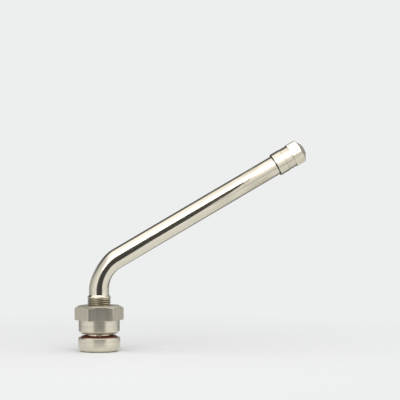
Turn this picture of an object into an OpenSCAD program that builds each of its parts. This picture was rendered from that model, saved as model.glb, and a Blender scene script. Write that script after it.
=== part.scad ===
// Bent clamp-in tyre valve for the valve hole of a truck or bus rim.
// The origin is on the neck's axis in the seat plane, where the top of the foot meets the rim.
// +Z runs up the neck, and the arm rises towards +X. Sizes are in millimetres.

/* [Foot] */
// Height of the foot that lies inside the rim
foot_h = 5.7; // [4.8:0.1:9]
// Width of the lip around the sealing ring's groove
foot_lip = 0.85; // [0.6:0.05:3]
// Radius of the foot's lower edge
foot_round = 2.2; // [0.5:0.1:2.6]
// Chamfer on the foot's upper edge
foot_edge = 0.3; // [0.1:0.05:0.4]
// Chamfer where the air bore opens in the foot
port_edge = 0.4; // [0.1:0.05:0.8]

/* [Neck] */
// Outside diameter of the neck thread
neck_d = 9.4; // [8.8:0.1:12]
// Height of the threaded neck above the seat plane
neck_h = 16.8; // [15:0.1:24]

/* [Tube] */
// Outside diameter of the tube
tube_d = 8; // [7.6:0.1:8.6]
// Diameter of the air bore
air_bore = 4.2; // [4:0.1:4.6]
// Straight length of tube between the neck and the bend
tube_rise = 2.2; // [0.5:0.1:8]
// Radius of the bend along the tube's axis
bend_radius = 14; // [10:0.5:24]
// Angle by which the tube is bent
bend_angle = 60; // [30:1:90]
// Straight length of the arm from the bend to the mouth
arm_length = 83.8; // [40:0.1:140]

/* [Mouth] */
// Depth by which the mouth thread is turned down below the tube
mouth_step = 0.15; // [0.1:0.05:0.3]
// Length of the mouth thread
mouth_thread = 9; // [7.5:0.1:12]
// Chamfer at the edge of the mouth
mouth_edge = 0.4; // [0.1:0.05:0.5]
// Step from the air bore out to the core chamber
seat_step = 0.5; // [0.4:0.05:0.6]
// Length of the cone between the chamber and the air bore
seat_cone = 1; // [0.6:0.1:1.6]

/* [Sealing ring] */
// Diameter of the ring's round section
ring_section = 2.7; // [2.2:0.05:3.2]
// Height of the ring above the seat plane
ring_proud = 1.05; // [0.5:0.05:1.2]

/* [Clamp nut] */
// Gap between the sealing ring and the nut
nut_gap = 0.35; // [0.1:0.05:3]
// Width across the flats of the nut
nut_flats = 17; // [16:0.1:20]
// Height of the hexagon
nut_hex_h = 5.7; // [4:0.1:7]
// Distance from the flats in to the crown on top of the hexagon
crown_inset = 0.4; // [0.1:0.05:1]
// Distance from the flats in to the round collar
collar_inset = 0.35; // [0.1:0.05:1]
// Height of the round collar
collar_h = 5.45; // [3:0.05:6]
// Chamfer on the collar's lower edge
collar_edge = 1; // [0.3:0.1:1.6]
// Countersink at both ends of the nut's thread
nut_sink = 0.5; // [0.2:0.05:0.8]

/* [Cap] */
// Length by which the cap's rim covers the tube below the mouth thread
cap_cover = 0.85; // [0.3:0.05:1.5]
// Length of the round skirt, rim included
skirt_len = 7.4; // [6:0.1:8]
// Wall of the skirt around the mouth thread
skirt_wall = 0.66; // [0.5:0.02:1.2]
// Step from the skirt out to its fuller rim
rim_step = 0.15; // [0.1:0.05:0.3]
// Length of the fuller rim
rim_len = 4; // [1:0.1:5]
// Chamfer on the rim's lower edge
rim_edge = 0.2; // [0.1:0.05:0.3]
// Step from the skirt out to the flats of the hexagon head
head_step = 0.04; // [0.02:0.02:0.5]
// Diameter of the flat spot on the cap's end
cap_spot = 3.8; // [2:0.1:5]
// Angle of the cone on the cap's end
cap_cone = 30; // [20:1:35]
// Least thickness of the end wall, over the edge of the cavity
cap_wall = 0.85; // [0.6:0.05:1.2]
// Thickness of the rubber disc in the cap
disc_h = 1.2; // [0.8:0.05:1.4]

/* [Core plug] */
// Depth of the plug's bridge inside the mouth
bridge_depth = 0.8; // [0.6:0.05:1.2]
// Height of the plug's bridge
bridge_h = 1.6; // [1:0.1:2]
// Width of the plug's bridge
bridge_w = 2.6; // [2.3:0.1:3]
// Length of the plug's threaded part
plug_h = 3.2; // [2.5:0.1:4]
// Width of the air passage around the pin
air_gap = 0.2; // [0.15:0.01:0.25]

/* [Core barrel] */
// Length of the barrel
barrel_h = 7.4; // [7:0.1:9]
// Radial room for air around the barrel
barrel_gap = 0.3; // [0.2:0.05:0.4]
// Wall of the barrel around the spring
barrel_wall = 0.55; // [0.45:0.05:0.6]
// Depth of the groove that holds the gasket
gasket_groove = 0.2; // [0.1:0.05:0.25]
// Length of the gasket above the cone
gasket_h = 1; // [0.6:0.1:1.6]
// Thickness of the barrel's top flange
barrel_flange = 0.6; // [0.4:0.05:0.8]
// Thickness of the barrel's roof over the spring, below the flange
barrel_roof = 0.2; // [0.1:0.05:0.4]
// Thickness of the barrel's floor under the spring
barrel_floor = 1.4; // [1:0.1:1.6]

/* [Core pin and spring] */
// Depth of the pin's tip inside the mouth
pin_depth = 0.2; // [0.1:0.05:0.5]
// Diameter of the pin
pin_d = 1.1; // [1:0.05:1.2]
// Height of the pin's collar
pin_collar = 0.4; // [0.3:0.05:0.6]
// Radial clearance of the pin's collar in the barrel
collar_gap = 0.1; // [0.05:0.05:0.15]
// Diameter of the wire of the spring
spring_wire = 0.28; // [0.2:0.02:0.3]
// Number of turns of the spring
spring_turns = 5; // [3:1:6]
// Radial room for air around the cup
cup_gap = 0.45; // [0.3:0.05:0.5]
// Height of the cup
cup_h = 1.1; // [0.9:0.05:1.4]
// Wall thickness of the cup
cup_wall = 0.2; // [0.15:0.05:0.25]
// Height of the rubber ring in the cup
cup_rubber = 0.55; // [0.4:0.05:0.65]

/* [Fits] */
// Radial clearance of threads, loose rings and seals
fit_gap = 0.05; // [0.03:0.01:0.1]
// Gap between faces that close on each other
face_gap = 0.02; // [0.01:0.01:0.05]
// Radial clearance of the cap's rim over the tube
rim_gap = 0.12; // [0.08:0.01:0.2]

/* [Hidden] */
$fn = 96;

// Colours of the finishes
polished_nickel = [0.82, 0.80, 0.77];
satin_nickel = [0.74, 0.71, 0.66];
bare_brass = [0.80, 0.66, 0.38];
red_rubber = [0.36, 0.10, 0.07];
black_rubber = [0.08, 0.08, 0.08];
white_gasket = [0.88, 0.87, 0.84];
spring_steel = [0.62, 0.62, 0.64];

// Small overlap that lets shapes run past the faces that they cut or join
past = 0.5;

// Radii of the stem
neck_r = neck_d / 2;
tube_r = tube_d / 2;
air_r = air_bore / 2;
mouth_r = tube_r - mouth_step;
chamber_r = air_r + seat_step;

// Sealing ring around the neck, and its groove in the foot
ring_r = ring_section / 2;
ring_path = neck_r + fit_gap + ring_r;
ring_z = ring_proud - ring_r;
groove_depth = ring_section - ring_proud;
groove_r = ring_path + ring_r + fit_gap;
foot_r = groove_r + foot_lip;

// Path of the tube: the axes of the neck and the arm cross at the corner
bend_z = neck_h + tube_rise;
bend_reach = bend_radius * tan(bend_angle / 2);
corner_z = bend_z + bend_reach;
mouth_at = bend_reach + arm_length;
neck_chamfer = neck_r - tube_r;

// The bend is drawn a hair thinner than the straight tube, which laps over its ends
bend_thin = 0.02;
bend_lap = 0.3;

// Clamp nut
hexagon = 6;
hex_slope = 30;
nut_z = ring_proud + nut_gap;
nut_h = collar_h + nut_hex_h;
nut_bore_r = neck_r + fit_gap;
nut_crown = nut_flats / 2 - crown_inset;
collar_r = nut_flats / 2 - collar_inset;

// Cap: the disc lies on the mouth, and the end wall lies on the disc
cavity_r = mouth_r + fit_gap;
skirt_r = cavity_r + skirt_wall;
rim_r = skirt_r + rim_step;
rim_bore_r = tube_r + rim_gap;
rim_bore_h = cap_cover + mouth_step + past;
cap_cavity = mouth_thread + cap_cover + disc_h + 2 * face_gap;
cap_end = cap_wall + (cavity_r - cap_spot / 2) * tan(cap_cone);
cap_len = cap_cavity + cap_end;
cap_at = mouth_at - mouth_thread - cap_cover;
cap_flats = 2 * (skirt_r + head_step);

// Valve core, as radii and as depths below the mouth
plug_r = chamber_r - fit_gap;
bridge_r = chamber_r - air_gap;
pin_r = pin_d / 2;
guide_r = pin_r + air_gap;
barrel_r = air_r - barrel_gap;
barrel_neck = barrel_r - gasket_groove;
room_r = barrel_r - barrel_wall;
spring_r = (room_r + guide_r) / 2;
cup_r = air_r - cup_gap;
plug_top = bridge_depth + bridge_h;
barrel_top = plug_top + plug_h;
barrel_end = barrel_top + barrel_h;
gasket_top = barrel_top + barrel_flange;
cone_top = gasket_top + gasket_h;
cone_end = cone_top + seat_cone;
room_top = gasket_top + barrel_roof;
room_end = barrel_end - barrel_floor;
collar_top = room_top + face_gap;
collar_end = collar_top + pin_collar;
cup_top = barrel_end + face_gap;
cup_end = cup_top + cup_h;

// Puts its children on the arm's axis, at a distance from the corner, with +Z pointing out of the mouth
module on_arm(distance) {
    translate([0, 0, corner_z])
        rotate([0, bend_angle, 0])
            translate([0, 0, distance])
                children();
}

// A round rod along the tube's path, from a height on the neck to a distance on the arm
module bent_rod(radius, from_z, to_distance) {
    translate([0, 0, from_z])
        cylinder(r = radius, h = bend_z + bend_lap - from_z);
    translate([bend_radius, 0, bend_z])
        rotate([90, 0, 180])
            rotate_extrude(angle = bend_angle)
                translate([bend_radius, 0])
                    circle(r = radius - bend_thin);
    on_arm(bend_reach - bend_lap)
        cylinder(r = radius, h = to_distance - bend_reach + bend_lap);
}

// A hexagon bar of a given width across its flats, with its upper end turned to a cone
module coned_hexagon(flats, height, crown, slope, turn) {
    corner = flats / 2 / cos(180 / hexagon);
    outer = corner + past;
    intersection() {
        rotate(turn)
            cylinder(r = corner, h = height, $fn = hexagon);
        rotate_extrude()
            polygon([[0, 0], [outer, 0], [outer, height - (outer - crown) * tan(slope)], [crown, height],
                [0, height]]);
    }
}

// Half section of the foot: a puck with a round lower edge and a groove for the sealing ring
module foot_section() {
    difference() {
        union() {
            translate([0, -foot_h])
                square([foot_r - foot_round, foot_h]);
            translate([0, foot_round - foot_h])
                square([foot_r, foot_h - foot_round]);
            translate([foot_r - foot_round, foot_round - foot_h])
                circle(r = foot_round);
        }
        polygon([[foot_r - foot_edge - past, past], [foot_r + past, -foot_edge - past], [foot_r + past, past]]);
        translate([neck_r, -groove_depth])
            square([groove_r - neck_r, groove_depth + past]);
    }
}

// Half section of the threaded neck, with a chamfer down to the tube
module neck_section() {
    polygon([[0, -groove_depth - past], [neck_r, -groove_depth - past], [neck_r, neck_h - neck_chamfer],
        [tube_r, neck_h], [0, neck_h]]);
}

// Half section of what is turned away at the tube's outer end, to leave the mouth thread and its edge
module mouth_cut() {
    polygon([[mouth_r - mouth_edge, past], [mouth_r - mouth_edge, 0], [mouth_r, -mouth_edge],
        [mouth_r, -mouth_thread], [tube_r, -mouth_thread - mouth_step],
        [tube_r + past, -mouth_thread - mouth_step], [tube_r + past, past]]);
}

// Half section of the core chamber in the mouth, down to the air bore
module chamber_section() {
    polygon([[0, past], [chamber_r + mouth_edge, past], [chamber_r + mouth_edge, 0],
        [chamber_r, -mouth_edge], [chamber_r, -cone_top], [air_r, -cone_end], [0, -cone_end]]);
}

module valve_stem() {
    color(polished_nickel)
        difference() {
            union() {
                rotate_extrude()
                    foot_section();
                rotate_extrude()
                    neck_section();
                bent_rod(tube_r, 0, mouth_at);
            }
            bent_rod(air_r, -foot_h - past, mouth_at - cone_end + past);
            translate([0, 0, -foot_h])
                cylinder(r1 = air_r + port_edge, r2 = air_r, h = port_edge);
            on_arm(mouth_at)
                rotate_extrude()
                    mouth_cut();
            on_arm(mouth_at)
                rotate_extrude()
                    chamber_section();
        }
}

module sealing_o_ring() {
    color(red_rubber)
        translate([0, 0, ring_z])
            rotate_extrude()
                translate([ring_path, 0])
                    circle(r = ring_r);
}

module clamp_nut() {
    color(satin_nickel)
        translate([0, 0, nut_z])
            difference() {
                union() {
                    rotate_extrude()
                        polygon([[0, 0], [collar_r - collar_edge, 0], [collar_r, collar_edge],
                            [collar_r, collar_h + past], [0, collar_h + past]]);
                    translate([0, 0, collar_h])
                        coned_hexagon(nut_flats, nut_hex_h, nut_crown, hex_slope, 0);
                }
                translate([0, 0, -past])
                    cylinder(r = nut_bore_r, h = nut_h + 2 * past);
                cylinder(r1 = nut_bore_r + nut_sink, r2 = nut_bore_r, h = nut_sink);
                translate([0, 0, nut_h - nut_sink])
                    cylinder(r1 = nut_bore_r, r2 = nut_bore_r + nut_sink, h = nut_sink);
            }
}

// Half section of the cap's skirt, with its fuller rim
module skirt_section() {
    polygon([[0, 0], [rim_r - rim_edge, 0], [rim_r, rim_edge], [rim_r, rim_len - rim_step],
        [skirt_r, rim_len], [skirt_r, skirt_len + past], [0, skirt_len + past]]);
}

module cap_shell() {
    color(polished_nickel)
        on_arm(cap_at)
            difference() {
                union() {
                    rotate_extrude()
                        skirt_section();
                    translate([0, 0, skirt_len])
                        coned_hexagon(cap_flats, cap_len - skirt_len, cap_spot / 2, cap_cone, 180 / hexagon);
                }
                translate([0, 0, -past])
                    cylinder(r = cavity_r, h = cap_cavity + past);
                translate([0, 0, -past])
                    cylinder(r = rim_bore_r, h = rim_bore_h + past);
            }
}

module cap_seal() {
    color(black_rubber)
        on_arm(mouth_at + face_gap)
            cylinder(r = cavity_r - fit_gap, h = disc_h);
}

module core_plug() {
    color(bare_brass)
        on_arm(mouth_at)
            difference() {
                union() {
                    translate([0, 0, -barrel_top])
                        cylinder(r = plug_r, h = plug_h);
                    intersection() {
                        translate([-bridge_w / 2, -chamber_r, -plug_top - past])
                            cube([bridge_w, 2 * chamber_r, bridge_h + past]);
                        translate([0, 0, -plug_top - past])
                            cylinder(r = bridge_r, h = bridge_h + past);
                    }
                }
                translate([0, 0, -barrel_top - past])
                    cylinder(r = pin_r + 2 * air_gap, h = barrel_top + past);
            }
}

module core_barrel() {
    color(bare_brass)
        on_arm(mouth_at)
            rotate_extrude()
                polygon([[guide_r, -barrel_top], [bridge_r, -barrel_top], [bridge_r, -gasket_top],
                    [barrel_neck, -gasket_top], [barrel_neck, -cone_end], [barrel_r, -cone_end],
                    [barrel_r, -barrel_end], [guide_r, -barrel_end], [guide_r, -room_end],
                    [room_r, -room_end], [room_r, -room_top], [guide_r, -room_top]]);
}

module barrel_gasket() {
    color(white_gasket)
        on_arm(mouth_at)
            rotate_extrude()
                polygon([[barrel_neck, -gasket_top], [chamber_r - fit_gap, -gasket_top],
                    [chamber_r - fit_gap, -cone_top], [air_r - fit_gap, -cone_end],
                    [barrel_neck, -cone_end]]);
}

module core_pin() {
    color(bare_brass)
        on_arm(mouth_at) {
            translate([0, 0, -cup_end])
                cylinder(r = pin_r, h = cup_end - pin_depth);
            translate([0, 0, -collar_end])
                cylinder(r = room_r - collar_gap, h = pin_collar);
        }
}

module pin_cup() {
    color(bare_brass)
        on_arm(mouth_at - cup_end)
            difference() {
                cylinder(r = cup_r, h = cup_h);
                translate([0, 0, cup_h - cup_rubber])
                    cylinder(r = cup_r - cup_wall, h = cup_rubber + past);
                translate([0, 0, -past])
                    cylinder(r = pin_r, h = cup_h + 2 * past);
            }
}

module cup_seal() {
    color(black_rubber)
        on_arm(mouth_at - cup_top - cup_rubber)
            difference() {
                cylinder(r = cup_r - cup_wall, h = cup_rubber);
                translate([0, 0, -past])
                    cylinder(r = pin_r, h = cup_rubber + 2 * past);
            }
}

// Closed tube swept along a helix: rings of points around the wire, joined side by side and capped
module coil(radius, wire, height, turns, steps, sides) {
    rings = turns * steps;
    rise = height - wire;
    points = [for (i = [0:rings], j = [0:sides - 1])
        let (turn = 360 * i / steps, round = 360 * j / sides, reach = radius + wire / 2 * cos(round))
            [reach * cos(turn), reach * sin(turn), wire / 2 + rise * i / rings + wire / 2 * sin(round)]];
    walls = [for (i = [0:rings - 1], j = [0:sides - 1])
        let (k = (j + 1) % sides)
            [i * sides + j, (i + 1) * sides + j, (i + 1) * sides + k, i * sides + k]];
    first = [for (j = [0:sides - 1]) j];
    last = [for (j = [sides - 1:-1:0]) rings * sides + j];
    polyhedron(points = points, faces = concat(walls, [first, last]), convexity = 10);
}

module core_spring() {
    color(spring_steel)
        on_arm(mouth_at - room_end)
            coil(spring_r, spring_wire, room_end - collar_end, spring_turns, 20, 6);
}

valve_stem();
sealing_o_ring();
clamp_nut();
cap_shell();
cap_seal();
core_plug();
core_barrel();
barrel_gasket();
core_pin();
pin_cup();
cup_seal();
core_spring();
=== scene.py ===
# %% [markdown]
# # A bent tyre valve for a truck rim
#
# The valve is clamped in the valve hole of a rim: a round foot and a rubber ring stay inside, a hexagon
# nut pulls the foot tight from outside, and a polished tube leads the air round a bend to a screw cap.
# Nearly everything on it was turned on a lathe, so nearly everything here starts as an outline that is
# spun round an axis. What isn't round was milled (the hexagons), rolled (the threads) or bent (the tube),
# and each of these has its own cell.

# %% The CAD model as the frame
import math

import bmesh
import bpy
from mathutils import Matrix, Quaternion, Vector


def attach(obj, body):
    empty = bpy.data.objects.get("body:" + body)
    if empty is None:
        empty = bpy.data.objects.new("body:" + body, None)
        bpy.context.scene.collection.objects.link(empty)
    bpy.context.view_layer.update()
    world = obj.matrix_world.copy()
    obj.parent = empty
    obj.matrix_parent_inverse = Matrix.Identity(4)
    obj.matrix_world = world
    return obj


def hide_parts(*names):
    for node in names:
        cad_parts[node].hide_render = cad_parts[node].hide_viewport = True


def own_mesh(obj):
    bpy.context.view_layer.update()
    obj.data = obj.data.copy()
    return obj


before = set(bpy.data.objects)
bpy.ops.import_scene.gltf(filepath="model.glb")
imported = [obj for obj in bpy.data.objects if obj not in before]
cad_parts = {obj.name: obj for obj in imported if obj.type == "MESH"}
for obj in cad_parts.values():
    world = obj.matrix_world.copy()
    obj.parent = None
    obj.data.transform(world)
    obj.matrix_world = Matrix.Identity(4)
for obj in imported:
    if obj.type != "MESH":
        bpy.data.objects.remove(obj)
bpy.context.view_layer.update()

# %% [markdown]
# ## The bench
#
# Blender's editing tools take points closer than about a tenth of a unit for one point in some of their
# steps. A valve in metres is only 0.09 units long, so every piece is made on a bench where one unit is a
# millimetre, and is shrunk a thousand times when it is done. The sizes are those of the CAD model.

# %% Sizes in millimetres
PITCH = 0.79375
SIDES = 96
FOOT_BASE = -5.7
NECK_TOP = 15.4
BEND_Z = 19.0
BEND_R = 14.0
BEND = math.radians(60)
ARM_STRAIGHT = 83.8
ARM_DIR = Vector((math.sin(BEND), 0, math.cos(BEND)))
BEND_CENTRE = Vector((BEND_R, 0, BEND_Z))
BEND_END = Vector((BEND_R * (1 - math.cos(BEND)), 0, BEND_Z + BEND_R * math.sin(BEND)))
MOUTH = BEND_END + ARM_DIR * ARM_STRAIGHT
CAP_START = MOUTH - ARM_DIR * 9.85
print("mouth at", [round(v, 3) for v in MOUTH])

# %% [markdown]
# A lathe outline is drawn as one would draw it with the extrude key: a single point is set down and pulled
# out step by step. Corners are given with a radius, because a turned edge is never quite sharp and it is
# the small round that catches the light.

# %% Helpers for drawing and turning


def deselect():
    if bpy.context.mode != "OBJECT":
        bpy.ops.object.mode_set(mode="OBJECT")
    bpy.ops.object.select_all(action="DESELECT")


def rounded(corners, closed=False, steps=4):
    """Points of an outline whose corners (radius from the axis, height, rounding) are rounded."""
    points = []
    count = len(corners)
    for i, (x, z, r) in enumerate(corners):
        at = Vector((x, z))
        if r == 0 or (not closed and i in (0, count - 1)):
            points.append(at)
            continue
        back = (Vector(corners[i - 1][:2]) - at).normalized()
        ahead = (Vector(corners[(i + 1) % count][:2]) - at).normalized()
        half = back.angle(ahead) / 2
        middle = at + (back + ahead).normalized() * (r / math.sin(half))
        first = (at + back * (r / math.tan(half)) - middle).normalized()
        last = (at + ahead * (r / math.tan(half)) - middle).normalized()
        for k in range(steps + 1):
            points.append(middle + first.slerp(last, k / steps) * r)
    if closed:
        points.append(points[0])
    return points


def draw(name, points):
    """A new mesh in edit mode: one point, extruded along the outline in the XZ plane."""
    deselect()
    bpy.ops.mesh.primitive_plane_add(size=1)
    piece = bpy.context.active_object
    piece.name = name
    bpy.ops.object.mode_set(mode="EDIT")
    bpy.ops.mesh.select_all(action="SELECT")
    bpy.ops.mesh.merge(type="CENTER")
    bpy.ops.transform.translate(value=(points[0].x, 0, points[0].y))
    for a, b in zip(points, points[1:]):
        step = (b.x - a.x, 0, b.y - a.y)
        bpy.ops.mesh.extrude_vertices_move(TRANSFORM_OT_translate={"value": step})
    return piece


def clean_up():
    bpy.ops.mesh.select_all(action="SELECT")
    bpy.ops.mesh.remove_doubles(threshold=0.002)
    bpy.ops.mesh.delete_loose(use_verts=True, use_edges=True, use_faces=False)
    bpy.ops.mesh.select_all(action="SELECT")
    bpy.ops.mesh.normals_make_consistent(inside=False)


def turn(name, points, sides=SIDES):
    """The outline spun once round the Z axis."""
    piece = draw(name, points)
    bpy.ops.mesh.select_all(action="SELECT")
    bpy.ops.mesh.spin(steps=sides, angle=math.tau, center=(0, 0, 0), axis=(0, 0, 1), use_auto_merge=False)
    clean_up()
    bpy.ops.object.mode_set(mode="OBJECT")
    return piece


# %% [markdown]
# Editing by hand means selecting something and then calling a tool on it. In a script the selection is made
# by a test on each point, such as its height. Modifiers and moves are applied at once, so that a piece is
# plain mesh again, with its own origin in the frame's origin.

# %% Helpers for selecting, applying and placing


def pick(test):
    """Selects the points of the mesh in edit mode for which the test holds."""
    bpy.ops.mesh.select_mode(type="VERT")
    bpy.ops.mesh.select_all(action="DESELECT")
    mesh = bpy.context.active_object.data
    edit = bmesh.from_edit_mesh(mesh)
    found = 0
    for vert in edit.verts:
        if test(vert):
            vert.select = True
            found += 1
    edit.select_flush_mode()
    bmesh.update_edit_mesh(mesh)
    return found


def edit(piece):
    deselect()
    piece.select_set(True)
    bpy.context.view_layer.objects.active = piece
    bpy.ops.object.mode_set(mode="EDIT")


def apply_modifier(piece, modifier):
    deselect()
    piece.select_set(True)
    bpy.context.view_layer.objects.active = piece
    bpy.ops.object.modifier_apply(modifier=modifier.name)


def put(piece, matrix):
    """Moves a piece and keeps its own origin in the frame's origin."""
    deselect()
    piece.select_set(True)
    bpy.context.view_layer.objects.active = piece
    piece.matrix_world = matrix
    bpy.ops.object.transform_apply(location=True, rotation=True, scale=True)


def join(first, *others):
    deselect()
    for piece in (first, *others):
        piece.select_set(True)
    bpy.context.view_layer.objects.active = first
    bpy.ops.object.join()
    return first


def on_arm(place):
    """The matrix that tips an upright piece onto the arm, with its zero height at that place."""
    return Matrix.Translation(place) @ Matrix.Rotation(BEND, 4, "Y")


# %% [markdown]
# The threads are rolled: a tool presses one groove that winds round and round. Here one tooth of the
# outline is drawn, exactly one pitch high, and the Screw modifier winds it upwards. The ragged ends are
# then cut square with two bisects, as a lathe tool would face them.

# %% A helper for the threads


def thread(name, crest, depth, low, high):
    """A sleeve of thread from one height to another, open at both ends."""
    root = crest - depth
    tooth = [
        (root, 0, 0),
        (root, 0.14 * PITCH, 0.1),
        (crest, 0.44 * PITCH, 0.05),
        (crest, 0.56 * PITCH, 0.05),
        (root, 0.86 * PITCH, 0.1),
        (root, PITCH, 0),
    ]
    sleeve = draw(name, rounded(tooth, steps=2))
    bpy.ops.object.mode_set(mode="OBJECT")
    winding = sleeve.modifiers.new("winding", "SCREW")
    winding.axis = "Z"
    winding.angle = math.tau
    winding.screw_offset = PITCH
    turns = math.ceil((high - low) / PITCH) + 2
    winding.iterations = turns
    winding.steps = SIDES
    winding.render_steps = SIDES
    winding.use_merge_vertices = True
    winding.merge_threshold = 0.001
    apply_modifier(sleeve, winding)
    put(sleeve, Matrix.Translation((0, 0, high - (turns - 0.25) * PITCH)))
    edit(sleeve)
    bpy.ops.mesh.select_all(action="SELECT")
    bpy.ops.mesh.remove_doubles(threshold=0.001)
    for height, below in ((low, True), (high, False)):
        bpy.ops.mesh.select_all(action="SELECT")
        bpy.ops.mesh.bisect(
            plane_co=(0, 0, height),
            plane_no=(0, 0, 1),
            clear_inner=below,
            clear_outer=not below,
            threshold=0.0001,
        )
    bpy.ops.object.mode_set(mode="OBJECT")
    print(name, len(sleeve.data.polygons), "faces")
    return sleeve


def bridge(piece, low, high, axis=Vector((0, 0, 1)), origin=Vector((0, 0, 0))):
    """Closes the gap between the open loops at two heights with a band of faces."""
    edit(piece)

    def at_gap(vert):
        height = (vert.co - origin).dot(axis)
        near = abs(height - low) < 0.002 or abs(height - high) < 0.002
        return near and vert.is_boundary

    found = pick(at_gap)
    bpy.ops.mesh.bridge_edge_loops()
    bpy.ops.object.mode_set(mode="OBJECT")
    return found


# %% [markdown]
# ## The stem
#
# Foot, neck and tube are one piece of brass. The foot is spun with the groove for the sealing ring in its
# upper face. Its lower edge has a generous round, which in the photo shows as a dark crescent.

# %% The foot
foot = turn(
    "foot",
    rounded(
        [
            (2.1, -5.3, 0),
            (2.5, FOOT_BASE, 0.1),
            (8.35, FOOT_BASE, 2.2),
            (8.35, -0.35, 0.06),
            (8.0, 0.0, 0.06),
            (7.5, 0.0, 0.12),
            (7.5, -1.65, 0.2),
            (4.7, -1.65, 0.2),
            (4.7, 1.2, 0),
        ],
        steps=6,
    ),
)
print("foot", len(foot.data.polygons), "faces")

# %% [markdown]
# The neck's thread is long because the nut travels on it. It ends in a smooth shoulder below the tube.

# %% The neck thread
neck_thread = thread("neck_thread", 4.69, 0.43, 1.4, NECK_TOP)

# %% [markdown]
# The tube starts as a short spun sleeve with the shoulder at its lower end. Its open top is spun by sixty
# degrees round a point beside it, which is just what a bending tool does, and then pulled out along the
# arm. A real bend flattens a tube a little, so the middle rings are pressed together by up to nine
# hundredths and widened slightly at right angles to that.

# %% The bent tube


def bend_and_pull(piece, length):
    edit(piece)
    pick(lambda vert: abs(vert.co.z - BEND_Z) < 0.001)
    bpy.ops.mesh.spin(steps=30, angle=BEND, center=BEND_CENTRE, axis=(0, -1, 0), use_auto_merge=False)
    bpy.ops.mesh.extrude_region_move(TRANSFORM_OT_translate={"value": ARM_DIR * length})
    clean_up()
    bpy.ops.object.mode_set(mode="OBJECT")


tube = turn(
    "valve_stem_tube",
    rounded(
        [
            (4.55, NECK_TOP + 0.2, 0),
            (4.66, NECK_TOP + 0.45, 0.1),
            (4.66, 16.0, 0.3),
            (4.0, 16.8, 0.25),
            (4.0, BEND_Z, 0),
        ]
    ),
)
bend_and_pull(tube, ARM_STRAIGHT - 9.15)

flattened = 0
for vert in tube.data.vertices:
    away = vert.co - BEND_CENTRE
    angle = math.atan2(away.z, -away.x)
    if 0.001 < angle < BEND - 0.001 and abs(away.length) < 25:
        press = math.sin(math.pi * angle / BEND) ** 1.4
        reach = math.hypot(away.x, away.z)
        new_reach = BEND_R + (reach - BEND_R) * (1 - 0.09 * press) - 0.25 * press
        vert.co.x = BEND_CENTRE.x + away.x * new_reach / reach
        vert.co.z = BEND_CENTRE.z + away.z * new_reach / reach
        vert.co.y *= 1 + 0.025 * press
        flattened += 1
print("points pressed in the bend", flattened)

# %% [markdown]
# The air bore runs inside in the same way. At the far end it widens into the chamber for the valve core.

# %% The air bore
bore = turn("bore", [Vector((2.1, -5.3)), Vector((2.1, BEND_Z))])
bend_and_pull(bore, ARM_STRAIGHT - 9.15)

# %% [markdown]
# The mouth is made upright and tipped onto the arm: a short relief behind the thread, the thread that the
# cap and the pump take, the mouth's edge and the chamber behind it.

# %% The mouth
relief = turn(
    "relief",
    rounded([(4.0, -9.15, 0), (3.42, -8.9, 0.1), (3.42, -8.6, 0)]),
)
mouth_thread = thread("mouth_thread", 3.84, 0.4, -8.4, -0.55)
lip = turn(
    "lip",
    rounded(
        [
            (3.7, -0.4, 0),
            (3.42, 0.0, 0.1),
            (3.0, 0.0, 0.08),
            (2.6, -0.4, 0.08),
            (2.6, -7.2, 0),
            (2.1, -8.2, 0),
            (2.1, -9.15, 0),
        ]
    ),
)
for piece in (relief, mouth_thread, lip):
    put(piece, on_arm(MOUTH))
print("mouth", sum(len(piece.data.polygons) for piece in (relief, mouth_thread, lip)), "faces")

# %% [markdown]
# The turned, wound and bent parts become one mesh. Where a thread meets a smooth part, the two open loops
# don't have the same points, and a bridge fills the narrow gap between them. A count of the points that
# are still open shows whether the skin is closed.

# %% The stem in one piece
stem = join(tube, foot, neck_thread, bore, relief, mouth_thread, lip)
stem.name = "stem"
bridge(stem, 1.2, 1.4)
bridge(stem, NECK_TOP, NECK_TOP + 0.2)
bridge(stem, -8.6, -8.4, ARM_DIR, MOUTH)
bridge(stem, -0.55, -0.4, ARM_DIR, MOUTH)
edit(stem)
clean_up()
open_points = pick(lambda vert: vert.is_boundary or not vert.is_manifold)
bpy.ops.object.mode_set(mode="OBJECT")
print("stem", len(stem.data.polygons), "faces, open points", open_points)

# %% [markdown]
# ## The nut and the cap
#
# Both are turned first and then get their six flats on the mill. The hexagon tool is a six-sided prism
# that widens into a broad plate below the flats, and the Boolean keeps what is inside it. Where the flats
# cut the turned cone, the curved edges of a real nut come out by themselves.

# %% A helper for turned and milled pieces


def mill(piece, across, start, turned_by):
    """Cuts six flats into a turned piece above the start height."""
    deselect()
    bpy.ops.mesh.primitive_cylinder_add(
        vertices=6,
        radius=across / math.sqrt(3),
        depth=40,
        location=(0, 0, start + 20),
        rotation=(0, 0, turned_by),
    )
    tool = bpy.context.active_object
    bpy.ops.object.transform_apply(location=True, rotation=True, scale=True)
    edit(tool)
    pick(lambda vert: abs(vert.co.z - start) < 0.001)
    bpy.ops.mesh.extrude_region_move(TRANSFORM_OT_translate={"value": (0, 0, 0)})
    bpy.ops.transform.resize(value=(3, 3, 1))
    bpy.ops.mesh.extrude_region_move(TRANSFORM_OT_translate={"value": (0, 0, -40)})
    bpy.ops.mesh.select_all(action="SELECT")
    bpy.ops.mesh.normals_make_consistent(inside=False)
    bpy.ops.object.mode_set(mode="OBJECT")
    flats = piece.modifiers.new("flats", "BOOLEAN")
    flats.operation = "INTERSECT"
    flats.solver = "EXACT"
    flats.object = tool
    apply_modifier(piece, flats)
    bpy.data.objects.remove(tool)
    print(piece.name, len(piece.data.polygons), "faces after milling")


def soften(piece, width):
    """Rounds the milled edges a little and keeps the flats looking flat."""
    edges = piece.modifiers.new("edges", "BEVEL")
    edges.limit_method = "ANGLE"
    edges.angle_limit = math.radians(22)
    edges.width = width
    edges.segments = 2
    apply_modifier(piece, edges)


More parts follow.
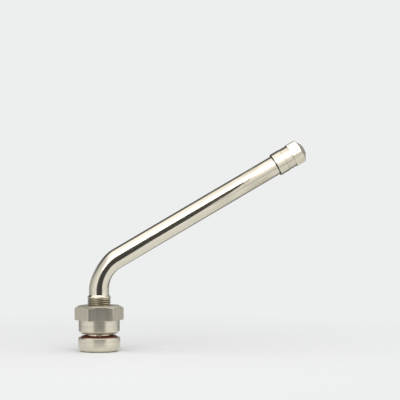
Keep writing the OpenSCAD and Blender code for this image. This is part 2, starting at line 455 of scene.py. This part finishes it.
# %% [markdown]
# The nut has a round collar below and the hexagon above it. It is turned a little narrower than the
# hexagon's corners, so that each corner ends in a small round, and its top is turned to a cone. The wide
# bevel stands for edges that have been tumbled and plated.

# %% The clamp nut
NUT_FLATS = 17.0
NUT_TOP = 12.55
NUT_TOP_R = 8.1
NUT_TURNED_R = 9.76
nut_shoulder = NUT_TOP - (NUT_TURNED_R - NUT_TOP_R) * math.tan(math.radians(30))
nut = turn(
    "nut_body",
    rounded(
        [
            (5.25, 1.4, 0.06),
            (7.15, 1.4, 0.25),
            (8.15, 2.4, 0.25),
            (8.15, 6.85, 0.12),
            (NUT_TURNED_R, 6.85, 0.05),
            (NUT_TURNED_R, nut_shoulder, 0.05),
            (NUT_TOP_R, NUT_TOP, 0.15),
            (5.25, NUT_TOP, 0.06),
            (4.75, 12.05, 0),
            (4.75, 1.9, 0),
        ],
        closed=True,
        steps=3,
    ),
    sides=120,
)
mill(nut, NUT_FLATS, 6.6, math.radians(30))
soften(nut, 0.42)

# %% [markdown]
# The cap is made in the same way. Its outline runs over the outside, from the rim along the skirt and the
# head to the middle of the coned end, and back along the inside. Its edges are crisper than the nut's.

# %% The screw cap
CAP_FLATS = 9.2
CAP_LENGTH = 13.0947
CAP_SPOT_R = 1.9
CAP_TURNED_R = 5.26
cap_corner = CAP_LENGTH - (CAP_TURNED_R - CAP_SPOT_R) * math.tan(math.radians(30))
cap_outside = [
    (4.12, 0.0, 0.08),
    (4.71, 0.0, 0.3),
    (4.71, 4.0, 0.06),
    (4.56, 4.15, 0.06),
    (4.56, 7.4, 0.06),
    (CAP_TURNED_R, 7.4, 0.05),
    (CAP_TURNED_R, cap_corner, 0.25),
    (CAP_SPOT_R, CAP_LENGTH, 0.9),
    (0.0, CAP_LENGTH, 0),
]
cap_inside = [
    (0.0, 11.09, 0),
    (3.9, 11.09, 0.2),
    (3.9, 1.5, 0.05),
    (4.12, 1.5, 0.05),
    (4.12, 0.0, 0),
]
cap = turn("cap_body", rounded(cap_outside, steps=5) + rounded(cap_inside, steps=3), sides=120)
mill(cap, CAP_FLATS, 7.2, 0)
soften(cap, 0.1)

# %% [markdown]
# ## The sealing ring
#
# The ring is moulded rubber. It starts as a torus, is pressed flat where it lies on the groove's floor, and
# gets the fine ridge that the two halves of a mould leave round its outside and inside.

# %% The sealing ring
deselect()
bpy.ops.mesh.primitive_torus_add(
    major_radius=6.1, minor_radius=1.35, major_segments=144, minor_segments=40, location=(0, 0, -0.3)
)
ring = bpy.context.active_object
ring.name = "ring_body"
bpy.ops.object.transform_apply(location=True, rotation=True, scale=True)
edit(ring)
bpy.ops.mesh.select_all(action="SELECT")
bpy.ops.mesh.bisect(plane_co=(0, 0, -1.6), plane_no=(0, 0, 1), clear_inner=True, threshold=0.0001)
pick(lambda vert: vert.is_boundary)
bpy.ops.mesh.bridge_edge_loops()
ridge = pick(lambda vert: abs(vert.co.z + 0.3) < 0.01)
bpy.ops.mesh.bevel(offset=0.09, segments=2, affect="EDGES")
bpy.ops.mesh.select_all(action="SELECT")
bpy.ops.mesh.normals_make_consistent(inside=False)
bpy.ops.object.mode_set(mode="OBJECT")
for vert in ring.data.vertices:
    reach = math.hypot(vert.co.x, vert.co.y)
    if abs(vert.co.z + 0.3) < 0.02:
        step = 0.03 if reach > 6.1 else -0.03
        vert.co.x *= (reach + step) / reach
        vert.co.y *= (reach + step) / reach
edit(ring)
bpy.ops.mesh.select_all(action="SELECT")
bpy.ops.transform.resize(value=(1, 1, 0.87), center_override=(0, 0, -1.6))
bpy.ops.object.mode_set(mode="OBJECT")
print("ring", len(ring.data.polygons), "faces, points on the mould line", ridge)

# %% [markdown]
# ## The spring in the core
#
# A spring is wire wound on a rod. It starts as a small circle, the wire's section, and the Screw modifier
# winds it up. Its place, radius and wire are measured on the CAD spring, so that it sits in the same room.
# It is a piece of its own; the real spring gets shorter when the pin is pressed.

# %% The core's spring
heights = []
reaches = []
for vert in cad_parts["core_spring"].data.vertices:
    out = vert.co * 1000 - MOUTH
    heights.append(out.dot(ARM_DIR))
    reaches.append((out - ARM_DIR * heights[-1]).length)
SPRING_LOW = min(heights)
SPRING_HIGH = max(heights)
WIRE = 0.28
SPRING_R = max(reaches) - WIRE / 2
SPRING_TURNS = 5
deselect()
bpy.ops.mesh.primitive_circle_add(
    vertices=12,
    radius=WIRE / 2,
    location=(SPRING_R, 0, SPRING_LOW + WIRE / 2),
    rotation=(math.radians(90), 0, 0),
)
spring = bpy.context.active_object
spring.name = "spring_wire"
bpy.ops.object.transform_apply(location=True, rotation=True, scale=True)
coils = spring.modifiers.new("coils", "SCREW")
coils.axis = "Z"
coils.angle = math.tau
coils.iterations = SPRING_TURNS
coils.screw_offset = (SPRING_HIGH - SPRING_LOW - WIRE) / SPRING_TURNS
coils.steps = 32
coils.render_steps = 32
apply_modifier(spring, coils)
edit(spring)
bpy.ops.mesh.select_all(action="SELECT")
bpy.ops.mesh.remove_doubles(threshold=0.0005)
bpy.ops.mesh.fill_holes(sides=0)
bpy.ops.mesh.select_all(action="SELECT")
bpy.ops.mesh.normals_make_consistent(inside=False)
bpy.ops.object.mode_set(mode="OBJECT")
put(spring, on_arm(MOUTH))
print("spring", round(SPRING_HIGH - SPRING_LOW, 2), "mm long, radius", round(SPRING_R, 3))

# %% [markdown]
# ## From the bench into the frame
#
# Before a piece is bent or tipped out of the upright, it matters for its finish which way the tools ran:
# turning marks go round the axis and polishing marks along the bar. So each piece remembers, in an
# attribute called straight, where its points lay on the straight bar, in millimetres.

# %% Remembering the straight bar


def unbent(p):
    away = p - BEND_CENTRE
    angle = math.atan2(away.z, -away.x)
    if p.z < BEND_Z and p.x < 10 and angle <= 0:
        return p
    if angle < BEND and away.length < 25:
        return Vector((BEND_R - math.hypot(away.x, away.z), p.y, BEND_Z + BEND_R * angle))
    out = p - BEND_END
    side = Vector((math.cos(BEND), 0, -math.sin(BEND)))
    return Vector((out.dot(side), p.y, BEND_Z + BEND_R * BEND + out.dot(ARM_DIR)))


def remember(piece, rule):
    store = piece.data.attributes.new("straight", "FLOAT_VECTOR", "POINT")
    for vert, value in zip(piece.data.vertices, store.data):
        value.vector = rule(vert.co)


def groove(p):
    """0 on a thread's crest and 1 at its root, also at the smooth places between them."""
    reach = math.hypot(p.x, p.y)
    if 1.3 < p.z < NECK_TOP + 0.1:
        return (4.69 - reach) / 0.43
    if p.z > 108.5 and reach > 3.2:
        return (3.84 - reach) / 0.4
    return 0.0


remember(stem, unbent)
store = stem.data.attributes.new("groove", "FLOAT", "POINT")
for place, value in zip(stem.data.attributes["straight"].data, store.data):
    value.value = groove(place.vector)
remember(nut, lambda p: p)
remember(cap, lambda p: p)
remember(ring, lambda p: p)
put(cap, on_arm(CAP_START))

# %% [markdown]
# Now every piece is shrunk to metres, takes the place of its CAD node and rides on that node's body. The
# sharp edges stay sharp and the round faces get smooth shading. The nut and the cap also take weighted
# normals, which keep their flats flat right up to the rounded edges.

# %% Into metres


def settle(piece, name, body, node, weighted=False):
    put(piece, Matrix.Scale(0.001, 4))
    piece.name = name
    piece.data.name = name
    deselect()
    piece.select_set(True)
    bpy.context.view_layer.objects.active = piece
    bpy.ops.object.shade_smooth_by_angle(angle=math.radians(32))
    if weighted:
        normals = piece.modifiers.new("normals", "WEIGHTED_NORMAL")
        normals.keep_sharp = True
        normals.weight = 80
        apply_modifier(piece, normals)
    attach(piece, body)
    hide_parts(node)
    print(name, len(piece.data.polygons), "faces")


settle(stem, "stem_shown", "stem", "valve_stem")
settle(nut, "nut_shown", "nut", "clamp_nut", weighted=True)
settle(cap, "cap_shown", "cap", "cap_shell", weighted=True)
settle(ring, "ring_shown", "seal_ring", "sealing_o_ring")
settle(spring, "spring_shown", "stem", "core_spring")

# %% [markdown]
# ## Finishes
#
# The metal is brass under a thin plate of nickel, which is warmer in colour than chrome. A finish is one
# Principled shader whose colour and roughness are varied a little by noise. Each helper here adds one kind
# of node, so that a finish reads as a short list of what has happened to the surface.

# %% Helpers for materials


def new_material(name, colour, metallic, roughness):
    material = bpy.data.materials.new(name)
    material.use_nodes = True
    shader = material.node_tree.nodes["Principled BSDF"]
    shader.inputs["Base Color"].default_value = (*colour, 1)
    shader.inputs["Metallic"].default_value = metallic
    shader.inputs["Roughness"].default_value = roughness
    return material, shader


def spread(material, value, low, high, out_low, out_high):
    """Maps a value between two limits to a new range."""
    nodes = material.node_tree.nodes
    span = nodes.new("ShaderNodeMapRange")
    span.inputs["From Min"].default_value = low
    span.inputs["From Max"].default_value = high
    span.inputs["To Min"].default_value = out_low
    span.inputs["To Max"].default_value = out_high
    material.node_tree.links.new(value, span.inputs["Value"])
    return span.outputs["Result"]


def combined(material, operation, a, b):
    """A Math node with sockets or numbers as its two inputs."""
    node = material.node_tree.nodes.new("ShaderNodeMath")
    node.operation = operation
    for socket, value in zip(node.inputs, (a, b)):
        if isinstance(value, (int, float)):
            socket.default_value = value
        else:
            material.node_tree.links.new(value, socket)
    return node.outputs["Value"]


def mixed(material, share, first, second):
    """A colour between two, by a share from 0 to 1; the first may be a socket."""
    links = material.node_tree.links
    node = material.node_tree.nodes.new("ShaderNodeMix")
    node.data_type = "RGBA"
    if isinstance(first, tuple):
        node.inputs["A"].default_value = (*first, 1)
    else:
        links.new(first, node.inputs["A"])
    node.inputs["B"].default_value = (*second, 1)
    links.new(share, node.inputs["Factor"])
    return node.outputs["Result"]


def bump(material, shader, height, depth):
    nodes = material.node_tree.nodes
    links = material.node_tree.links
    node = nodes.new("ShaderNodeBump")
    node.inputs["Strength"].default_value = 1.0
    node.inputs["Distance"].default_value = depth
    links.new(height, node.inputs["Height"])
    links.new(node.outputs["Normal"], shader.inputs["Normal"])


# %% [markdown]
# Marks of a tool follow the tool's way, not the finished shape. The next helpers read the attribute
# straight, so that a streak runs along the bar or a turning mark runs round it, also on the bent arm.

# %% Helpers for marks on the bar


def on_bar(material):
    """The place on the straight bar, in millimetres."""
    place = material.node_tree.nodes.new("ShaderNodeAttribute")
    place.attribute_name = "straight"
    return place.outputs["Vector"]


def streaks(material, scale, detail):
    """Noise on the straight bar, stretched by the scale along its three axes."""
    nodes = material.node_tree.nodes
    links = material.node_tree.links
    stretch = nodes.new("ShaderNodeMapping")
    stretch.inputs["Scale"].default_value = scale
    noise = nodes.new("ShaderNodeTexNoise")
    noise.inputs["Scale"].default_value = 1.0
    noise.inputs["Detail"].default_value = detail
    links.new(on_bar(material), stretch.inputs["Vector"])
    links.new(stretch.outputs["Vector"], noise.inputs["Vector"])
    return noise.outputs["Fac"]


def height_on_bar(material):
    parts = material.node_tree.nodes.new("ShaderNodeSeparateXYZ")
    material.node_tree.links.new(on_bar(material), parts.inputs["Vector"])
    return parts.outputs["Z"]


def on_band(material, height, low, high):
    """1 on a short stretch of the bar and 0 elsewhere."""
    above = combined(material, "GREATER_THAN", height, low)
    return combined(material, "MULTIPLY", above, combined(material, "LESS_THAN", height, high))


# %% [markdown]
# The tube and the cap are polished. Polishing leaves faint lines along the bar and round it. Hands and
# tools have dulled the end with the cap, so the scuffs grow along the bar. Where the cap's rim meets the
# tube and in the cap's steps, dark bands of painted shade, with a little grime, stand for the shadow there.

# %% Polished nickel
NICKEL = (0.80, 0.745, 0.62)
SCUFFED_NICKEL = (0.68, 0.61, 0.49)
# A near-black colour: painted shade, with a little grime, in the gap at the cap's rim and in the cap's
# steps.
SHADE_AND_GRIME = (0.07, 0.06, 0.045)
CAP_EDGE = BEND_Z + BEND_R * BEND + ARM_STRAIGHT - 9.85


def polished_plate(name, handled_from, handled_to, edges):
    """Polished nickel with scuffs that grow along the bar, and painted shade with a little grime in the
    edges at these heights.
    """
    material, shader = new_material(name, NICKEL, 1.0, 0.12)
    links = material.node_tree.links
    height = height_on_bar(material)
    lengthwise = streaks(material, (2.2, 2.2, 0.06), 6.0)
    around = streaks(material, (0.25, 0.25, 2.6), 3.0)
    patches = streaks(material, (0.5, 0.5, 0.12), 3.0)
    handled = spread(material, height, handled_from, handled_to, 0.0, 1.0)
    scuffed = combined(material, "MULTIPLY", handled, spread(material, patches, 0.42, 0.62, 0.0, 1.0))
    # These bands paint shade, with a little grime, into the edges at the given heights: the colour goes
    # nearly black there.
    shade_and_grime = 0.0
    for low, high in edges:
        shade_and_grime = combined(material, "ADD", on_band(material, height, low, high), shade_and_grime)
    shade_and_grime = combined(material, "MULTIPLY", shade_and_grime, spread(material, patches, 0.35, 0.5, 0.65, 0.95))
    plate = mixed(material, scuffed, NICKEL, SCUFFED_NICKEL)
    links.new(mixed(material, shade_and_grime, plate, SHADE_AND_GRIME), shader.inputs["Base Color"])
    fine = spread(material, combined(material, "ADD", lengthwise, around), 0.8, 1.35, 0.08, 0.2)
    rough = combined(material, "ADD", fine, combined(material, "MULTIPLY", scuffed, 0.24))
    rough = combined(material, "ADD", rough, combined(material, "MULTIPLY", shade_and_grime, 0.3))
    links.new(rough, shader.inputs["Roughness"])
    bump(material, shader, around, 0.000012)
    print(name, "with", len(edges), "shaded_and_grimy edges")
    return material


# The band on the tube is a painted shadow where the cap's rim meets it; the bands on the cap are painted
# shade in its steps.
polished = polished_plate("polished nickel", 62.0, 100.0, [(CAP_EDGE - 0.3, CAP_EDGE + 0.1)])
cap_plate = polished_plate("cap nickel", -6.0, 12.0, [(-0.1, 0.16), (4.02, 4.14), (7.36, 7.44)])

# %% [markdown]
# The nut and the foot are left as the tools made them and then plated, so they are satin: turning marks go
# round the collar and the foot, and drawing marks go up the flats. Such fine marks spread a reflection
# across themselves, which is what Anisotropic does, with a tangent that says which way they run.

# %% Satin nickel
satin, shader = new_material("satin nickel", (0.72, 0.67, 0.56), 1.0, 0.4)
links = satin.node_tree.links
turned = streaks(satin, (0.08, 0.08, 7.0), 3.0)
drawn = streaks(satin, (5.0, 5.0, 0.1), 3.0)
flats = spread(satin, height_on_bar(satin), 6.84, 6.86, 0.0, 1.0)
lines = combined(satin, "MULTIPLY", drawn, flats)
rings = combined(satin, "MULTIPLY", turned, combined(satin, "SUBTRACT", 1.0, flats))
marks = combined(satin, "ADD", lines, rings)
shown = spread(satin, marks, 0.32, 0.68, 0.0, 1.0)
shown = combined(satin, "SUBTRACT", shown, combined(satin, "MULTIPLY", flats, 0.2))
links.new(mixed(satin, shown, (0.64, 0.59, 0.485), (0.84, 0.785, 0.66)), shader.inputs["Base Color"])
links.new(spread(satin, flats, 0.0, 1.0, 0.31, 0.4), shader.inputs["Roughness"])
shader.inputs["Anisotropic"].default_value = 0.5
along = satin.node_tree.nodes.new("ShaderNodeCombineXYZ")
along.inputs["Z"].default_value = 1.0
links.new(along.outputs["Vector"], shader.inputs["Tangent"])
links.new(spread(satin, flats, 0.0, 1.0, 0.0, 0.25), shader.inputs["Anisotropic Rotation"])
bump(satin, shader, marks, 0.00001)
print("satin nickel with", len(satin.node_tree.nodes), "nodes")

# %% [markdown]
# In a thread's groove the plate is thin, so the rolled thread gets rougher towards its roots. It also gets
# darker there, which is painted shade in the grooves. The attribute groove says how deep a point lies.

# %% Rolled thread
rolled, shader = new_material("rolled thread", NICKEL, 1.0, 0.2)
links = rolled.node_tree.links
depth = rolled.node_tree.nodes.new("ShaderNodeAttribute")
depth.attribute_name = "groove"
# The colour goes nearly black towards the roots: painted shade in the thread's grooves.
share = spread(rolled, depth.outputs["Fac"], 0.3, 0.95, 0.0, 1.0)
links.new(mixed(rolled, share, (0.76, 0.70, 0.55), (0.13, 0.115, 0.07)), shader.inputs["Base Color"])
links.new(spread(rolled, share, 0.0, 1.0, 0.18, 0.45), shader.inputs["Roughness"])
print("rolled thread with", len(rolled.node_tree.nodes), "nodes")

# %% [markdown]
# Bare brass, rubber, the gasket's plastic and spring wire each have a fine grain of their own. It moves
# the colour and the roughness together, because a duller spot is also a little paler.

# %% Grained materials


def grained(name, dark, pale, metallic, roughness, per_mm, depth):
    """A material whose colour and roughness vary together in a fine grain on Object coordinates."""
    smooth, matt = roughness
    material, shader = new_material(name, pale, metallic, matt)
    nodes = material.node_tree.nodes
    links = material.node_tree.links
    place = nodes.new("ShaderNodeTexCoord")
    noise = nodes.new("ShaderNodeTexNoise")
    noise.inputs["Scale"].default_value = per_mm * 1000
    noise.inputs["Detail"].default_value = 5.0
    links.new(place.outputs["Object"], noise.inputs["Vector"])
    grain = spread(material, noise.outputs["Fac"], 0.35, 0.65, 0.0, 1.0)
    links.new(mixed(material, grain, dark, pale), shader.inputs["Base Color"])
    links.new(spread(material, grain, 0.0, 1.0, smooth, matt), shader.inputs["Roughness"])
    bump(material, shader, noise.outputs["Fac"], depth)
    print(name)
    return material


brass = grained("bare brass", (0.70, 0.52, 0.25), (0.82, 0.64, 0.35), 1.0, (0.2, 0.34), 1.2, 0.00001)
rubber = grained(
    "red rubber", (0.075, 0.014, 0.006), (0.13, 0.026, 0.011), 0.0, (0.42, 0.6), 2.5, 0.00002
)
rubber.node_tree.nodes["Principled BSDF"].inputs["Specular IOR Level"].default_value = 0.3
black = grained("black rubber", (0.014,) * 3, (0.03,) * 3, 0.0, (0.4, 0.6), 2.5, 0.00002)
gasket = grained("white gasket", (0.74, 0.73, 0.69), (0.84, 0.83, 0.80), 0.0, (0.3, 0.45), 1.5, 0.00001)
steel = grained("spring steel", (0.45, 0.45, 0.46), (0.6, 0.6, 0.61), 1.0, (0.22, 0.38), 4.0, 0.000005)

# %% [markdown]
# The stem is one mesh with four finishes: a polished tube, a satin foot, rolled threads and bare brass in
# the bore, where no plate gets. Which face gets which is told from its place on the straight bar.

# %% Finishes on the stem


def paint(piece, *materials):
    piece.data.materials.clear()
    for material in materials:
        piece.data.materials.append(material)


MOUTH_THREAD_START = 108.46
paint(stem, polished, satin, rolled, brass)
store = stem.data.attributes["straight"].data
for face in stem.data.polygons:
    mean = Vector((0, 0, 0))
    for index in face.vertices:
        mean += Vector(store[index].vector)
    mean /= len(face.vertices)
    reach = math.hypot(mean.x, mean.y)
    if reach < 2.75 and mean.z > FOOT_BASE + 0.05:
        face.material_index = 3
    elif mean.z < 0.2 and reach > 4.75:
        face.material_index = 1
    elif 1.2 < mean.z < NECK_TOP or mean.z > MOUTH_THREAD_START:
        face.material_index = 2
used = [face.material_index for face in stem.data.polygons]
print("faces of the stem by finish", [used.count(index) for index in range(4)])

# %% [markdown]
# Spanners rub the nut's corners, so the bevelled faces between its flats are polished. The other pieces
# have one finish each, and the pieces inside the core keep their CAD shape.

# %% Finishes on the other pieces
paint(nut, satin, polished)
rubbed = 0
for face in nut.data.polygons:
    heading = math.degrees(math.atan2(face.normal.y, face.normal.x))
    off_corner = abs((heading + 120) % 60 - 30)
    beside_flats = 0.0071 < face.center.z < 0.0122 and abs(face.normal.z) < 0.3
    if beside_flats and off_corner < 25 and math.hypot(face.center.x, face.center.y) > 0.0092:
        face.material_index = 1
        rubbed += 1
print("faces on the nut's rubbed edges", rubbed)
paint(cap, cap_plate)
paint(ring, rubber)
paint(spring, steel)
for name, material in (
    ("cap_seal", black),
    ("core_plug", brass),
    ("core_barrel", brass),
    ("barrel_gasket", gasket),
    ("core_pin", brass),
    ("pin_cup", brass),
    ("cup_seal", black),
):
    paint(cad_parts[name], material)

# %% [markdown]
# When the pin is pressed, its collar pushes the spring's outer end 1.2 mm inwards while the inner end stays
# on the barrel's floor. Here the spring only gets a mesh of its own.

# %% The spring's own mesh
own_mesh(spring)

# %% [markdown]
# ## Studio
#
# The photo is a plain product shot on white: a pale ground, a broad soft light above and dark room on the
# camera's side, which is what draws the dark streak along the polished tube.

# %% Camera
camera_data = bpy.data.cameras.new("camera")
camera_data.lens = 171.0
camera_data.sensor_width = 36.0
camera_data.clip_start = 0.01
camera_data.clip_end = 10.0
camera = bpy.data.objects.new("camera", camera_data)
scene = bpy.context.scene
scene.collection.objects.link(camera)
CAMERA_YAW = 0.1116
CAMERA_PITCH = -0.015
CAMERA_ROLL = -0.0038
camera.location = (-0.04408, -0.75522, 0.06569)
look = Vector((math.tan(CAMERA_YAW), 1.0, math.tan(CAMERA_PITCH) / math.cos(CAMERA_YAW)))
camera.rotation_mode = "QUATERNION"
camera.rotation_quaternion = look.to_track_quat("-Z", "Y") @ Quaternion((0, 0, 1), CAMERA_ROLL)
scene.camera = camera
print("camera turned by", round(math.degrees(CAMERA_YAW), 2), "degrees")

# %% [markdown]
# The ground is an ordinary matt floor near the valve, where it takes the shadow, and fades into the plain
# colour of the background farther out, so that no horizon line crosses the picture.

# %% The ground
BACKGROUND = (0.847, 0.859, 0.855, 1.0)
deselect()
bpy.ops.mesh.primitive_plane_add(size=6, location=(0, 0, FOOT_BASE * 0.001))
floor = bpy.context.active_object
floor.name = "floor"
ground, shader = new_material("ground", (0.765, 0.775, 0.77), 0.0, 0.9)
shader.inputs["Specular IOR Level"].default_value = 0.0
nodes = ground.node_tree.nodes
links = ground.node_tree.links
place = nodes.new("ShaderNodeTexCoord")
reach = nodes.new("ShaderNodeVectorMath")
reach.operation = "LENGTH"
links.new(place.outputs["Object"], reach.inputs[0])
parts = nodes.new("ShaderNodeSeparateXYZ")
links.new(place.outputs["Object"], parts.inputs["Vector"])
path = nodes.new("ShaderNodeLightPath")
back = spread(ground, parts.outputs["Y"], -0.1, 0.2, 1.0, 0.5)
plain = nodes.new("ShaderNodeEmission")
plain.inputs["Color"].default_value = BACKGROUND
links.new(combined(ground, "MAXIMUM", back, path.outputs["Is Camera Ray"]), plain.inputs["Strength"])
fade = nodes.new("ShaderNodeMixShader")
links.new(spread(ground, reach.outputs["Value"], 0.05, 0.2, 0.0, 1.0), fade.inputs["Fac"])
links.new(shader.outputs["BSDF"], fade.inputs[1])
links.new(plain.outputs["Emission"], fade.inputs[2])
links.new(fade.outputs["Shader"], nodes["Material Output"].inputs["Surface"])
paint(floor, ground)

# %% [markdown]
# One broad soft box hangs above the valve and reaches well over to the camera's side. It is an area light
# whose power follows from its size, so that it would look as bright if it were larger.

# %% Soft box
TARGET = Vector((0.03, 0.0, 0.04))
SOFTBOX_LEVEL = 1.5
lamp_data = bpy.data.lights.new("softbox", "AREA")
lamp_data.shape = "RECTANGLE"
lamp_data.size = 0.75
lamp_data.size_y = 0.42
lamp_data.energy = SOFTBOX_LEVEL * math.pi * lamp_data.size * lamp_data.size_y
lamp = bpy.data.objects.new("softbox", lamp_data)
scene.collection.objects.link(lamp)
lamp.location = TARGET + Vector((-0.066, -0.468, 0.37))
lamp.rotation_euler = (TARGET - lamp.location).to_track_quat("-Z", "Y").to_euler()
print("soft box of", round(lamp_data.energy, 2), "W")

# %% [markdown]
# Polished metal shows whatever stands around it, so a photographer shapes it with cards, called flags. One
# dark card on the camera's side draws the streak along the tube, and a grey one softens it near the cap.
# Two more lie on the ground, in front of the foot and behind the valve, for the darker middle of the foot
# and the fine lines along the lower edges. Only reflections see them, and they cast no shadow.

# %% Flags
FLAG_Y = -58.0
DARK_FLAG = [(-38, -3.6), (28, -3.6), (36, 19), (52, 30), (61, 52), (62, 68), (56, 90), (9, 64), (-36, 40)]
GREY_FLAG = [(70, 26), (112, 30), (117, 50), (78, 42)]
GROUND_FLAG = [(-30, -58), (24, -58), (18, -22), (-24, -22)]
REAR_FLAG = [(-160, 42), (190, 42), (190, 190), (-160, 190)]


def hang_flag(name, outline, level, lying=False):
    """A card that only reflections see, with a light of its own of that level."""
    card = draw(name, [Vector(point) for point in outline])
    bpy.ops.mesh.select_all(action="SELECT")
    bpy.ops.mesh.edge_face_add()
    bpy.ops.object.mode_set(mode="OBJECT")
    if lying:
        on_ground = Matrix.Translation((0, 0, FOOT_BASE + 0.2))
        put(card, on_ground @ Matrix.Rotation(math.radians(-90), 4, "X"))
    else:
        put(card, Matrix.Translation((0, FLAG_Y, 0)))
    put(card, Matrix.Scale(0.001, 4))
    shade, shader = new_material(name, (0, 0, 0), 0.0, 1.0)
    shader.inputs["Specular IOR Level"].default_value = 0.0
    shader.inputs["Emission Color"].default_value = (1, 1, 1, 1)
    shader.inputs["Emission Strength"].default_value = level
    paint(card, shade)
    card.visible_camera = False
    card.visible_diffuse = False
    card.visible_shadow = False
    card.visible_transmission = False
    print(name, "of level", level)


hang_flag("dark_flag", DARK_FLAG, 0.055)
hang_flag("grey_flag", GREY_FLAG, 0.5)
hang_flag("ground_flag", GROUND_FLAG, 0.52, lying=True)
hang_flag("rear_flag", REAR_FLAG, 0.22, lying=True)

# %% [markdown]
# The world is the room around. It gets a level for each direction: walls that are darker behind the valve
# and to the right behind it, a brighter side to the right in front, and a pale ceiling. The material
# helpers work here too, because a world has a node tree like a material's.

# %% The room's walls and ceiling
scene.view_settings.view_transform = "Standard"
world = bpy.data.worlds.new("studio")
scene.world = world
world.use_nodes = True
nodes = world.node_tree.nodes
links = world.node_tree.links
nodes.clear()
ray = nodes.new("ShaderNodeTexCoord")
parts = nodes.new("ShaderNodeSeparateXYZ")
links.new(ray.outputs["Generated"], parts.inputs["Vector"])
to_right = parts.outputs["X"]
to_back = parts.outputs["Y"]
upwards = parts.outputs["Z"]


def rising(value, low, high):
    """0 below the low limit, 1 above the high one and a smooth change between them."""
    node = nodes.new("ShaderNodeMapRange")
    node.interpolation_type = "SMOOTHSTEP"
    node.inputs["From Min"].default_value = low
    node.inputs["From Max"].default_value = high
    links.new(value, node.inputs["Value"])
    return node.outputs["Result"]


def both(a, b):
    return combined(world, "MULTIPLY", a, b)


def rest_of(share):
    return combined(world, "SUBTRACT", 1.0, share)


walls = combined(world, "SUBTRACT", 0.72, both(to_back, 0.42))
right_front = both(rising(to_right, 0.35, 0.85), rest_of(rising(to_back, -0.1, 0.35)))
walls = combined(world, "ADD", walls, both(right_front, 0.2))
left = rising(both(to_right, -1.0), 0.4, 0.9)
walls = combined(world, "SUBTRACT", walls, both(left, 0.05))
right_back = both(rising(to_right, 0.4, 0.8), rising(to_back, 0.2, 0.5))
walls = combined(world, "SUBTRACT", walls, both(right_back, 0.14))
ceiling = rising(upwards, 0.62, 0.8)
lit = combined(world, "ADD", both(walls, rest_of(ceiling)), both(ceiling, 1.25))
print("nodes for walls and ceiling", len(nodes))

# %% [markdown]
# High up behind, to the left, the room is dim, as beyond the edge of a paper backdrop. That draws the dark
# line along the tube's upper edge. The camera itself sees none of the room, only the plain background.

# %% The dim corner and the plain background
leftwards = rest_of(rising(to_right, -0.05, 0.3))
dim = both(both(rising(upwards, 0.22, 0.45), rising(to_back, 0.25, 0.5)), leftwards)
room = nodes.new("ShaderNodeBackground")
room.inputs["Color"].default_value = (1, 1, 1, 1)
links.new(both(lit, rest_of(both(dim, 0.82))), room.inputs["Strength"])
seen = nodes.new("ShaderNodeBackground")
seen.inputs["Color"].default_value = BACKGROUND
seen.inputs["Strength"].default_value = 1.0
path = nodes.new("ShaderNodeLightPath")
choice = nodes.new("ShaderNodeMixShader")
output = nodes.new("ShaderNodeOutputWorld")
links.new(path.outputs["Is Camera Ray"], choice.inputs["Fac"])
links.new(room.outputs["Background"], choice.inputs[1])
links.new(seen.outputs["Background"], choice.inputs[2])
links.new(choice.outputs["Shader"], output.inputs["Surface"])
print("nodes in the world", len(nodes))
